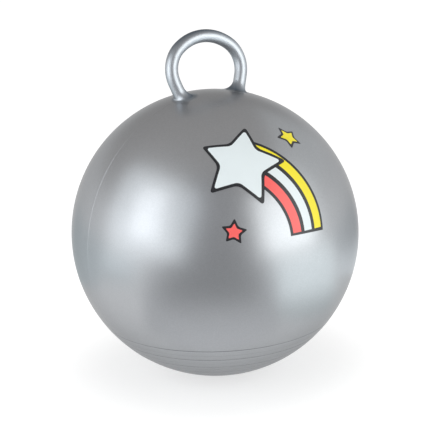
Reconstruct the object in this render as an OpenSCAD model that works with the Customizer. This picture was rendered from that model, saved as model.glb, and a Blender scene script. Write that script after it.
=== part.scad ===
// Hopper ball: an inflated vinyl ball with a hollow ring handle and a plug valve.
// The origin is the middle of the flat that the ball rests on. +Z is up, the handle loop
// spans X, the front is -Y, and the valve faces +Y.

/* [Ball] */
// Diameter of the inflated ball
ball_d = 450; // [380:5:600]
// Thickness of the vinyl skin
wall = 1.2; // [0.9:0.1:2.5]
// Diameter of the flat that the ball's own weight presses into its underside
rest_d = 50; // [30:1:80]

/* [Grip rings] */
// Latitude of the highest grip ring, in degrees below the equator
ring_start = 35.3; // [28:0.1:50]
// Distance along the skin from one grip ring to the next
ring_pitch = 25.5; // [18:0.5:40]
// Width of the round cutter that leaves a grip ring
ring_w = 2.4; // [1.6:0.1:3]
// Depth of a grip ring
ring_depth = 0.5; // [0.3:0.05:0.6]
// Width of the round cutter that leaves a hairline between two grip rings
hairline_w = 1.2; // [0.8:0.1:1.6]
// Depth of a hairline
hairline_depth = 0.25; // [0.15:0.05:0.35]
// Least width of plain skin between the last grip ring and the flat
ring_margin = 11; // [5:1:25]

/* [Handle] */
// Outside diameter of the handle's tube
tube_d = 19.8; // [17:0.2:24]
// Wall of the handle's tube
tube_wall = 2.4; // [1.6:0.1:3.5]
// Distance between the middles of the two feet
foot_span = 103; // [94:1:120]
// Length of the straight part of a leg
leg_len = 26; // [20:0.5:40]
// Angle by which a leg splays outwards
leg_splay = 18.6; // [8:0.2:26]
// Radius of the tube's middle line at the shoulders
shoulder_r = 45; // [36:1:50]
// Angle that the crown's arc turns through on each side of its middle
crown_turn = 37.4; // [25:0.2:50]
// Angle by which the loop leans back towards the rider
lean = 11; // [0:0.5:18]

/* [Feet] */
// Radius of the web where a foot spreads towards the other foot
web_in_r = 14; // [9:0.5:18]
// Radius of the web on a foot's outer side
web_out_r = 3.5; // [3:0.5:9]
// Radius of the web on a foot's front and back
web_side_r = 10; // [6:0.5:18]
// Thickness of a foot's rim on the skin
rim_t = 0.5; // [0.3:0.1:1.2]
// Gap between a foot and the skin, filled by the weld
weld_gap = 0.05; // [0.04:0.01:0.15]

/* [Valve seat] */
// Diameter of the seat's face that shows in the skin
seat_d = 26; // [25:0.5:32]
// Diameter of the seat's flange inside the skin
flange_d = 40; // [36:1:50]
// Thickness of the flange at its edge
flange_t = 2.4; // [1.6:0.1:4]
// Diameter of the sleeve that reaches into the ball
sleeve_d = 15; // [13:0.5:18]
// Length of the sleeve beyond the flange
sleeve_len = 15; // [10:0.5:18]
// Bore of the sleeve
bore_d = 9; // [7:0.1:10]
// Gap round the seat, filled by its bond to the skin
bond_gap = 0.05; // [0.03:0.01:0.15]
// Width of the notch that lets a finger nail under the plug's head
notch_w = 7; // [5:0.5:8]
// Plain rim of the seat outside the notch
notch_rim = 1.2; // [0.8:0.1:2]

/* [Valve plug] */
// Diameter of the plug's head
head_d = 18; // [16:0.5:20]
// Thickness of the plug's head
head_t = 2; // [1.4:0.1:2.6]
// Chamfer round the head's top edge
head_chamfer = 0.5; // [0.2:0.1:0.8]
// Diameter of the dimple in the head's top
dimple_d = 9; // [6:0.5:12]
// Depth of the dimple
dimple_depth = 0.6; // [0.3:0.1:0.8]
// Clearance round the head in its recess
head_clear = 0.6; // [0.3:0.1:0.8]
// Clearance round the ribs of the stem in the bore
plug_clear = 0.08; // [0.05:0.01:0.1]
// Length of the stem under the head
stem_len = 24; // [20:0.5:28]
// Number of sealing ribs on the stem
rib_count = 4; // [2:1:5]
// Width of a sealing rib
rib_w = 1.6; // [1:0.1:2]
// Depth of the necks between the ribs
neck_depth = 0.5; // [0.3:0.1:0.8]
// Length of the tapered tip
tip_len = 5; // [3:0.5:7]
// Diameter of the end of the tip
tip_d = 5.4; // [4.8:0.2:5.6]
// Diameter of the core hole up the stem
core_d = 3.6; // [2.4:0.2:3.8]
// Solid plastic between the core hole and the underside of the head
core_floor = 3; // [2:0.5:6]

/* [Hidden] */

SKIN_COLOUR = "#A3A5A8";
HANDLE_COLOUR = "#B4BBC1";
SEAT_COLOUR = "#C9CBCE";
PLUG_COLOUR = "#F2F2EE";

ball_facets = 180;
round_facets = 64;
tube_sides = 32;        // corners of one ring of the handle's mesh
web_steps = 8;          // rings up a foot's web
leg_steps = 2;          // rings up the straight of a leg
shoulder_steps = 12;    // rings round a shoulder
crown_steps = 6;        // rings from a shoulder to the middle of the crown
bore_stride = 2;        // the tube's bore takes every second ring
underside_steps = 3;    // rings across a foot's underside, from the bore's mouth to the rim
cutter_overrun = 1;     // how far a cutter passes the face that it opens

// Ball
ball_r = ball_d / 2;
inner_r = ball_r - wall;
rest_r = rest_d / 2;
centre_z = sqrt(ball_r * ball_r - rest_r * rest_r);
rest_latitude = acos(rest_r / ball_r);

// Grip rings, each at its own latitude below the equator, with a hairline between two
pitch_angle = ring_pitch / ball_r * 180 / PI;
margin_angle = ring_margin / ball_r * 180 / PI;
ring_count = 1 + floor((rest_latitude - margin_angle - ring_start) / pitch_angle);

// Handle, in the plane of the loop: u runs across, and v up from the line between the feet
tube_r = tube_d / 2;
tube_bore_r = tube_r - tube_wall;
foot_u = foot_span / 2;
foot_angle = asin(foot_u / ball_r);
foot_z = centre_z + ball_r * cos(foot_angle);
shoulder_centre = [foot_u + leg_len * sin(leg_splay) - shoulder_r * cos(leg_splay),
                   leg_len * cos(leg_splay) + shoulder_r * sin(leg_splay)];
crown_r = shoulder_r + shoulder_centre[0] / sin(crown_turn);
crown_centre = [0, shoulder_centre[1] - (crown_r - shoulder_r) * cos(crown_turn)];
web_end = rim_t + max(web_in_r, web_out_r, web_side_r);
shoulder_turn = 90 + leg_splay - crown_turn;
shoulder_len = shoulder_turn * PI / 180 * shoulder_r;
crown_len = crown_turn * PI / 180 * crown_r;

// Valve, as distances from the ball's centre
recess_r = head_d / 2 + head_clear;
head_top = sqrt(ball_r * ball_r - recess_r * recess_r);
head_base = head_top - head_t;
flange_top_r = inner_r - bond_gap;
flange_floor = sqrt(flange_top_r * flange_top_r - flange_d * flange_d / 4) - flange_t;
flange_mid = flange_floor + flange_t / 2;
sleeve_end = flange_floor - sleeve_len;
notch_reach = seat_d / 2 - notch_rim - notch_w / 2;

// Valve plug, as distances from the ball's centre
stem_d = bore_d - 2 * plug_clear;
neck_d = stem_d - 2 * neck_depth;
stem_end = head_base - stem_len;
tip_top = stem_end + tip_len;
rib_pitch = (head_base - tip_top) / (rib_count + 1);

function mix(a, b, share) = a + (b - a) * share;
function ease(x) = let(c = min(max(x, 0), 1)) c * c * (3 - 2 * c);

// Puts its children on the valve's axis, with the ball's centre at their origin
module on_valve_axis() translate([0, 0, centre_z]) rotate([-90, 0, 0]) children();

// Puts its children on the line from the ball's centre through a foot
module on_foot_axis(side) translate([0, 0, centre_z]) rotate([0, side * foot_angle, 0]) children();

// A ball of radius r whose underside is cut flat at height floor_z
module flattened_ball(r, floor_z)
    intersection() {
        translate([0, 0, centre_z]) sphere(r = r, $fn = ball_facets);
        translate([-ball_d, -ball_d, floor_z]) cube([2 * ball_d, 2 * ball_d, 2 * ball_d]);
    }

// The cutter for a ring round the ball at a latitude below the equator
module ring_cutter(latitude, width, depth) {
    reach = ball_r + width / 2 - depth;
    translate([0, 0, centre_z - reach * sin(latitude)])
        rotate_extrude($fn = ball_facets)
            translate([reach * cos(latitude), 0]) circle(d = width, $fn = round_facets);
}

// The inflated skin: a hollow ball with grip rings, an air port under each foot of the handle
// and a hole for the valve
module ball_skin() color(SKIN_COLOUR)
    difference() {
        flattened_ball(ball_r, 0);
        flattened_ball(inner_r, wall);
        for (i = [0 : ring_count - 1])
            ring_cutter(ring_start + i * pitch_angle, ring_w, ring_depth);
        for (i = [0 : ring_count - 2])
            ring_cutter(ring_start + (i + 1 / 2) * pitch_angle, hairline_w, hairline_depth);
        for (side = [-1, 1])
            on_foot_axis(side)
                translate([0, 0, inner_r - cutter_overrun])
                    cylinder(r = tube_bore_r, h = wall + 2 * cutter_overrun, $fn = round_facets);
        on_valve_axis()
            translate([0, 0, inner_r - cutter_overrun])
                cylinder(d = seat_d + 2 * bond_gap, h = wall + 2 * cutter_overrun, $fn = round_facets);
    }

// Stations along the tube's middle line, from the right foot to the middle of the crown.
// A station is [u, v, tilt of the tube from upright, distance from the foot].
function leg_station(s) = [foot_u + s * sin(leg_splay), s * cos(leg_splay), leg_splay, s];
function arc_station(centre, r, angle, s) =
    [centre[0] + r * sin(angle), centre[1] + r * cos(angle), angle - 90, s];
function web_station(share) = leg_station(rim_t + (web_end - rim_t) * (1 - cos(90 * share)));
function shoulder_station(share) =
    arc_station(shoulder_centre, shoulder_r, 90 + leg_splay - shoulder_turn * share,
                leg_len + shoulder_len * share);
function crown_station(share) =
    arc_station(crown_centre, crown_r, crown_turn * (1 - share),
                leg_len + shoulder_len + crown_len * share);
half_loop = concat(
    [for (i = [0 : web_steps]) web_station(i / web_steps)],
    [for (i = [1 : leg_steps]) leg_station(mix(web_end, leg_len, i / leg_steps))],
    [for (i = [1 : shoulder_steps]) shoulder_station(i / shoulder_steps)],
    [for (i = [1 : crown_steps]) crown_station(i / crown_steps)]);

// How far a web of radius r stands out from the tube at distance s up the leg
function web_spread(r, s) = let(left = min(max(r + rim_t - s, 0), r)) r - sqrt(r * r - left * left);

// A station's middle, and the directions across and through a tube tilted and leant there
function station_middle(station) =
    [station[0], station[1] * sin(lean), foot_z + station[1] * cos(lean)];
function across(tilt, back) = [cos(tilt), -sin(tilt) * sin(back), -sin(tilt) * cos(back)];
function through(back) = [0, cos(back), -sin(back)];
foot_normal = [sin(foot_angle), 0, cos(foot_angle)];

// A ring of the outside. Near the foot it turns square to the skin and follows the skin's curve,
// so that the web runs out into the ball.
function outside_ring(station) =
    let(s = station[3],
        up = ease(s / web_end),
        tilt = mix(foot_angle, station[2], up),
        back = lean * up)
    [for (k = [0 : tube_sides - 1])
        let(a = 360 * k / tube_sides,
            web_r = cos(a) > 0 ? web_out_r : web_in_r,
            reach_u = cos(a) * (tube_r + web_spread(web_r, s)),
            reach_y = sin(a) * (tube_r + web_spread(web_side_r, s)),
            sag = (reach_u * reach_u + reach_y * reach_y) / ball_d * (1 - up))
        station_middle(station) + across(tilt, back) * reach_u + through(back) * reach_y
            - foot_normal * sag];

// A ring of the bore
function bore_ring(station) =
    [for (k = [0 : tube_sides - 1])
        let(a = 360 * k / tube_sides)
        station_middle(station)
            + (across(station[2], lean) * cos(a) + through(lean) * sin(a)) * tube_bore_r];

// A ring of the foot's underside, on the skin: share is 1 at the rim and 0 at the bore's mouth
function underside_ring(share) =
    let(rim = outside_ring(half_loop[0]),
        ball_centre = [0, 0, centre_z])
    [for (k = [0 : tube_sides - 1])
        let(a = 360 * k / tube_sides,
            mouth = ball_centre + foot_normal * ball_r
                    + (across(foot_angle, 0) * cos(a) + through(0) * sin(a)) * tube_bore_r,
            ray = mix(mouth, rim[k], share) - ball_centre)
        ball_centre + ray / norm(ray) * (ball_r + weld_gap)];

function reversed(rings) = [for (i = [len(rings) - 1 : -1 : 0]) rings[i]];
function other_side(rings) = [for (ring = reversed(rings)) [for (p = ring) [-p[0], p[1], p[2]]]];

crown_index = len(half_loop) - 1;
outside_half = [for (i = [0 : crown_index - 1]) outside_ring(half_loop[i])];
bore_half = [for (i = [crown_index - bore_stride : -bore_stride : web_steps]) bore_ring(half_loop[i])];
underside = [for (i = [0 : underside_steps]) underside_ring(i / underside_steps)];

// All rings in order: over the loop from the right foot to the left, and back through the bore
handle_rings = concat(
    outside_half,
    [outside_ring(half_loop[crown_index])],
    other_side(outside_half),
    other_side(underside),
    other_side(bore_half),
    [bore_ring(half_loop[crown_index])],
    bore_half,
    underside);

// The hollow ring handle, with webbed feet that sit on the skin over the air ports
module ring_handle() color(HANDLE_COLOUR)
    polyhedron(
        points = [for (ring = handle_rings) for (p = ring) p],
        faces = [
            for (i = [0 : len(handle_rings) - 1])
                for (k = [0 : tube_sides - 1])
                    let(here = i * tube_sides,
                        next = (i + 1) % len(handle_rings) * tube_sides,
                        m = (k + 1) % tube_sides)
                    for (triangle = [[here + k, next + k, here + m], [here + m, next + k, next + m]])
                        triangle]);

// The soft valve seat: a face flush with the skin, a flange bonded behind it and a long sleeve
module valve_seat() color(SEAT_COLOUR)
    on_valve_axis()
        difference() {
            union() {
                intersection() {
                    sphere(r = ball_r, $fn = ball_facets);
                    translate([0, 0, flange_mid]) cylinder(d = seat_d, h = ball_r, $fn = round_facets);
                }
                intersection() {
                    sphere(r = flange_top_r, $fn = ball_facets);
                    translate([0, 0, flange_floor]) cylinder(d = flange_d, h = ball_r, $fn = round_facets);
                }
                translate([0, 0, sleeve_end])
                    cylinder(d = sleeve_d, h = flange_mid - sleeve_end, $fn = round_facets);
            }
            translate([0, 0, head_base])
                cylinder(r = recess_r, h = head_t + cutter_overrun, $fn = round_facets);
            translate([0, notch_reach, head_base])
                cylinder(d = notch_w, h = head_t + cutter_overrun, $fn = round_facets);
            translate([0, 0, sleeve_end - cutter_overrun])
                cylinder(d = bore_d, h = ball_r, $fn = round_facets);
        }

// The push-in plug: a dimpled head and a ribbed, cored stem with a tapered tip
module valve_plug() color(PLUG_COLOUR)
    on_valve_axis()
        difference() {
            union() {
                translate([0, 0, head_base])
                    cylinder(d = head_d, h = head_t - head_chamfer, $fn = round_facets);
                translate([0, 0, head_top - head_chamfer])
                    cylinder(d1 = head_d, d2 = head_d - 2 * head_chamfer, h = head_chamfer,
                             $fn = round_facets);
                translate([0, 0, tip_top])
                    cylinder(d = neck_d, h = head_base - tip_top, $fn = round_facets);
                for (i = [1 : rib_count])
                    translate([0, 0, head_base - i * rib_pitch - rib_w / 2])
                        cylinder(d = stem_d, h = rib_w, $fn = round_facets);
                translate([0, 0, stem_end])
                    cylinder(d1 = tip_d, d2 = neck_d, h = tip_len, $fn = round_facets);
            }
            translate([0, 0, head_top - dimple_depth])
                cylinder(d = dimple_d, h = dimple_depth + cutter_overrun, $fn = round_facets);
            translate([0, 0, stem_end - cutter_overrun])
                cylinder(d = core_d, h = stem_len - core_floor + cutter_overrun, $fn = round_facets);
        }

ball_skin();
ring_handle();
valve_seat();
valve_plug();
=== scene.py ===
"""Looks of a silver hopper ball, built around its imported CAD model.

Sizes are in millimetres in the classes' fields and become metres where a mesh is made. The
frame is the CAD's: the origin is the middle of the flat that the ball rests on, +Z is up, the
handle's loop spans X, the print faces -Y and the valve faces +Y.
"""

import logging
import math
from contextlib import contextmanager
from dataclasses import dataclass, field
from enum import Enum
from typing import Callable, Iterator

import bmesh
import bpy
from mathutils import Matrix, Vector


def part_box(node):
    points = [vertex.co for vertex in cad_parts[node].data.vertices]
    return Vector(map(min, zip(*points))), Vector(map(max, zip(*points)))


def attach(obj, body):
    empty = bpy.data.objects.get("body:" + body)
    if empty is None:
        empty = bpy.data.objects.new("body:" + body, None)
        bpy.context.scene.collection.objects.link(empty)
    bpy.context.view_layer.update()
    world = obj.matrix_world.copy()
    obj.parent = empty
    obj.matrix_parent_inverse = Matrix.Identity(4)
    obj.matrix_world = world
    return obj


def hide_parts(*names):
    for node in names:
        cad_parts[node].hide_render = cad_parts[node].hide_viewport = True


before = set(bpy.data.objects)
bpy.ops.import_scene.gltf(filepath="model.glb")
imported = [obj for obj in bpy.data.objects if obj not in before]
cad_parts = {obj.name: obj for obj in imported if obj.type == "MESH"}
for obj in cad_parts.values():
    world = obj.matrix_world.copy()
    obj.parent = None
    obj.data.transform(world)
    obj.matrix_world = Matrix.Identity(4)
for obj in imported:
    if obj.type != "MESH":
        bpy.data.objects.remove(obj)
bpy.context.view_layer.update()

Tree = bpy.types.NodeTree
Socket = bpy.types.NodeSocket
Points = list[tuple[float, float, float]]

MM = 0.001
SAME_POINT = 0.01                   # points of a spun surface this close are merged
ON_PLANE = 0.02                     # points this close to a plane lie on it
FLOOR_GAP = 1.0                     # height of the studio's flat boards over its floor
UPWARD_PAINTED_SHADE = "upward_painted_shade"                 # attribute: the upward part of a handle vertex's normal, which drives the painted shade on its upper side
LOG = logging.getLogger("hopper_ball")


class Body(Enum):
    """The CAD bodies that pieces ride on."""

    BALL = "ball"
    PLUG = "plug"


class Slot(Enum):
    """The record's material slots."""

    SKIN = "pearl_vinyl"
    HANDLE = "handle_vinyl"
    SEAT = "seat_vinyl"
    PLUG = "plug_plastic"
    WHITE = "print_white"
    BLACK = "print_black"
    YELLOW = "print_yellow"
    CORAL = "print_coral"


# Mesh helpers


def add_primitive(kind: str, name: str, **settings: object) -> bpy.types.Object:
    """Adds a mesh primitive with nothing else selected.

    Args:
        kind: The primitive's name in its operator, such as circle.
        name: The new object's name.
        **settings: The operator's settings, in metres.

    Returns:
        The new object.
    """
    bpy.ops.object.select_all(action="DESELECT")
    getattr(bpy.ops.mesh, f"primitive_{kind}_add")(**settings)
    piece = bpy.context.object
    piece.name = name
    piece.data.name = name
    return piece


def select_only(piece: bpy.types.Object) -> None:
    """Selects one object alone and makes it the active one.

    Args:
        piece: The object to select.
    """
    bpy.ops.object.select_all(action="DESELECT")
    piece.select_set(True)
    bpy.context.view_layer.objects.active = piece


@contextmanager
def editing(piece: bpy.types.Object) -> Iterator[None]:
    """Puts one object alone into edit mode for its vertices, and leaves edit mode at the end.

    Args:
        piece: The object to edit.
    """
    select_only(piece)
    bpy.ops.object.mode_set(mode="EDIT")
    bpy.ops.mesh.select_mode(type="VERT")
    try:
        yield
    finally:
        bpy.ops.object.mode_set(mode="OBJECT")


def select_vertices(piece: bpy.types.Object, wanted: Callable[[Vector], bool]) -> int:
    """Selects a piece's vertices by their place, in edit mode.

    Args:
        piece: The object in edit mode.
        wanted: Says of a place in the mesh whether its vertex is taken.

    Returns:
        How many vertices are selected.
    """
    bpy.ops.mesh.select_all(action="DESELECT")
    mesh = bmesh.from_edit_mesh(piece.data)
    count = 0
    for vertex in mesh.verts:
        if wanted(vertex.co):
            vertex.select_set(True)
            count += 1
    mesh.select_flush_mode()
    bmesh.update_edit_mesh(piece.data)
    return count


def apply_modifier(piece: bpy.types.Object, kind: str, **settings: object) -> None:
    """Adds a modifier to a piece and applies it.

    Args:
        piece: The object to change.
        kind: The modifier's type, such as SOLIDIFY.
        **settings: The modifier's properties.
    """
    select_only(piece)
    modifier = piece.modifiers.new(kind.lower(), kind)
    for key, value in settings.items():
        setattr(modifier, key, value)
    bpy.ops.object.modifier_apply(modifier=modifier.name)


def bore_along_y(piece: bpy.types.Object, width: float, depth: float, middle: Vector,
                 sides: int) -> None:
    """Cuts a round hole into a piece, with a cylinder that is removed again.

    Args:
        piece: The object to cut.
        width: The hole's diameter, in millimetres.
        depth: The cylinder's length, in millimetres.
        middle: The cylinder's middle, in millimetres.
        sides: The cylinder's number of sides.
    """
    cutter = add_primitive("cylinder", f"{piece.name}_cutter", vertices=sides, radius=width / 2 * MM,
                           depth=depth * MM, location=middle * MM, rotation=(math.radians(90), 0, 0))
    apply_modifier(piece, "BOOLEAN", object=cutter, operation="DIFFERENCE", solver="EXACT")
    bpy.data.objects.remove(cutter)


def settle(piece: bpy.types.Object, smooth_angle: float) -> bpy.types.Object:
    """Moves an object's place into its mesh and shades it smooth.

    Args:
        piece: The finished piece.
        smooth_angle: Edges sharper than this many degrees stay sharp.

    Returns:
        The same piece.
    """
    select_only(piece)
    bpy.ops.object.transform_apply(location=True, rotation=True, scale=True)
    bpy.ops.object.shade_smooth_by_angle(angle=math.radians(smooth_angle))
    return piece


def trace(name: str, points: Points) -> bpy.types.Object:
    """Draws an open chain of edges by extruding one vertex from point to point.

    Args:
        name: The new object's name.
        points: The chain's points, in millimetres.

    Returns:
        The chain, with its last vertex selected.
    """
    chain = add_primitive("plane", name, size=MM, location=Vector(points[0]) * MM)
    bpy.ops.object.transform_apply(location=True, rotation=True, scale=True)
    with editing(chain):
        bpy.ops.mesh.select_all(action="SELECT")
        bpy.ops.mesh.merge(type="CENTER")
        for start, end in zip(points, points[1:]):
            step = (Vector(end) - Vector(start)) * MM
            bpy.ops.mesh.extrude_vertices_move(TRANSFORM_OT_translate={"value": step})
    return chain


def revolve(name: str, points: Points, centre: Vector, axis: Vector,
            sweeps: list[tuple[float, int]]) -> bpy.types.Object:
    """Traces a profile and spins it round an axis into a closed surface.

    Args:
        name: The new object's name.
        points: The profile's points, in millimetres.
        centre: A point on the axis, in millimetres.
        axis: The axis's direction.
        sweeps: Each sweep's angle in degrees and its number of steps, 360 degrees in all.

    Returns:
        The surface, with its normals outwards.
    """
    piece = trace(name, points)
    with editing(piece):
        bpy.ops.mesh.select_all(action="SELECT")
        for angle, steps in sweeps:
            bpy.ops.mesh.spin(steps=steps, angle=math.radians(angle), center=centre * MM, axis=axis)
        bpy.ops.mesh.select_all(action="SELECT")
        bpy.ops.mesh.remove_doubles(threshold=SAME_POINT * MM)
        bpy.ops.mesh.normals_make_consistent(inside=False)
    return piece


# Material helpers


def linear(hex_colour: str) -> tuple[float, float, float, float]:
    """Turns an sRGB hex colour into the linear colour that a shader reads.

    Args:
        hex_colour: The colour, such as #A3A5A8.

    Returns:
        Red, green, blue and alpha, from 0 to 1.
    """
    shares = [int(hex_colour[i:i + 2], 16) / 255 for i in (1, 3, 5)]
    red, green, blue = (c / 12.92 if c <= 0.04045 else ((c + 0.055) / 1.055) ** 2.4 for c in shares)
    return (red, green, blue, 1.0)


def add_node(tree: Tree, kind: str, inputs: dict | None = None, **settings: object) -> bpy.types.Node:
    """Adds a node with its settings and what it reads.

    Args:
        tree: The node tree.
        kind: The node's type name, such as ShaderNodeTexNoise.
        inputs: Input name or number to the socket, or the value, that it reads.
        **settings: The node's own properties.

    Returns:
        The new node.
    """
    node = tree.nodes.new(kind)
    for key, value in settings.items():
        setattr(node, key, value)
    for key, value in (inputs or {}).items():
        if isinstance(value, Socket):
            tree.links.new(value, node.inputs[key])
        else:
            node.inputs[key].default_value = value
    return node


def blank_material(name: str) -> tuple[bpy.types.Material, Tree]:
    """Makes a material with an empty node tree.

    Args:
        name: The material's name.

    Returns:
        The material and its node tree.
    """
    material = bpy.data.materials.new(name)
    material.use_nodes = True
    material.node_tree.nodes.clear()
    return material, material.node_tree


def pattern_scale(spacing: float) -> float:
    """Gives a texture's scale for a spacing in millimetres, on coordinates in metres."""
    return 1 / (spacing * MM)


# Finishes


@dataclass(frozen=True)
class PearlVinyl:
    """Soft PVC with silver pearl pigment, rotationally moulded.

    The flakes lie near the surface under clear vinyl. That gives a wide satin glow from the
    flakes, with a tighter sheen from the clear top on it, and a faint cloudiness where the
    paste flowed. The skin is a darker colour in the grip rings, which shows them as darker lines.
    """

    ball_centre: Vector
    ball_radius: float
    name: str = "pearl_pvc_rotomoulded"
    colour: str = "#ACAEB1"
    cloud_colour: str = "#A6A8AB"
    cloud_spacing: float = 60.0
    cloud_detail: float = 5.0
    cloud_roughness: float = 0.6
    ring_dark_colour: str = "#5C5E61"
    ring_darkening: float = 0.75              # how much of the skin's colour the darker colour replaces in a ring
    # Depths under the plain ball: plain, fully darkened, the last of the darkening, and plain again
    # inside.
    ring_dark_depths: tuple[float, float, float, float] = (0.05, 0.45, 0.6, 0.9)
    metallic: float = 0.9
    roughness: float = 0.34
    roughness_spread: float = 0.02
    coat: float = 0.15
    coat_roughness: float = 0.22
    edge_tint: str = "#C4C4C4"      # pearl flakes lie askew, so that the rim is no mirror
    flake_spacing: float = 1.1      # real flakes are 0.05 mm; drawn coarse enough to show
    flake_depth: float = 0.02
    flake_strength: float = 0.25
    glint: float = 0.06             # how much lighter or darker a flake is than the paste

    def make(self) -> bpy.types.Material:
        """Builds the material.

        Returns:
            The material.
        """
        material, tree = blank_material(self.name)
        place = add_node(tree, "ShaderNodeTexCoord").outputs["Object"]
        clouds = add_node(tree, "ShaderNodeTexNoise",
                          {"Vector": place, "Scale": pattern_scale(self.cloud_spacing),
                           "Detail": self.cloud_detail, "Roughness": self.cloud_roughness})
        flakes = add_node(tree, "ShaderNodeTexVoronoi",
                          {"Vector": place, "Scale": pattern_scale(self.flake_spacing)})
        paste = add_node(tree, "ShaderNodeMix",
                         {"Factor": clouds.outputs["Fac"], "A": linear(self.colour),
                          "B": linear(self.cloud_colour)},
                         data_type="RGBA")
        glints = add_node(tree, "ShaderNodeMapRange",
                          {"Value": flakes.outputs["Color"], "To Min": 1 - self.glint,
                           "To Max": 1 + self.glint})
        sparkle = add_node(tree, "ShaderNodeVectorMath",
                           {0: paste.outputs["Result"], "Scale": glints.outputs["Result"]},
                           operation="SCALE")
        ring_darkened = add_node(tree, "ShaderNodeMix",
                          {"Factor": self.ring_dark_share(tree, place), "A": sparkle.outputs["Vector"],
                           "B": linear(self.ring_dark_colour)},
                          data_type="RGBA")
        rough = add_node(tree, "ShaderNodeMapRange",
                         {"Value": clouds.outputs["Fac"],
                          "To Min": self.roughness - self.roughness_spread,
                          "To Max": self.roughness + self.roughness_spread})
        bump = add_node(tree, "ShaderNodeBump",
                        {"Height": flakes.outputs["Distance"], "Strength": self.flake_strength,
                         "Distance": self.flake_depth * MM})
        shader = add_node(tree, "ShaderNodeBsdfPrincipled",
                          {"Base Color": ring_darkened.outputs["Result"], "Roughness": rough.outputs["Result"],
                           "Normal": bump.outputs["Normal"], "Metallic": self.metallic,
                           "Specular Tint": linear(self.edge_tint), "Coat Weight": self.coat,
                           "Coat Roughness": self.coat_roughness})
        add_node(tree, "ShaderNodeOutputMaterial", {"Surface": shader.outputs["BSDF"]})
        return material

    def ring_dark_share(self, tree: Tree, place: Socket) -> Socket:
        """Gives how much a place is darkened, by its depth in the grip rings.

        Args:
            tree: The material's node tree.
            place: The place on the skin.

        Returns:
            The share, which is 0 on the plain skin and on its inner side.
        """
        from_centre = add_node(tree, "ShaderNodeVectorMath",
                               {0: place, 1: self.ball_centre * MM}, operation="DISTANCE")
        undarkened, fully_darkened, deepest, inside = ((self.ball_radius - depth) * MM for depth in self.ring_dark_depths)
        ring_dark_fade = add_node(tree, "ShaderNodeMapRange",
                           {"Value": from_centre.outputs["Value"], "From Min": fully_darkened,
                            "From Max": undarkened, "To Min": self.ring_darkening, "To Max": 0.0})
        reached = add_node(tree, "ShaderNodeMapRange",
                           {"Value": from_centre.outputs["Value"], "From Min": inside,
                            "From Max": deepest})
        ring_darkening = add_node(tree, "ShaderNodeMath",
                        {0: ring_dark_fade.outputs["Result"], 1: reached.outputs["Result"]},
                        operation="MULTIPLY")
        return ring_darkening.outputs["Value"]


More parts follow.
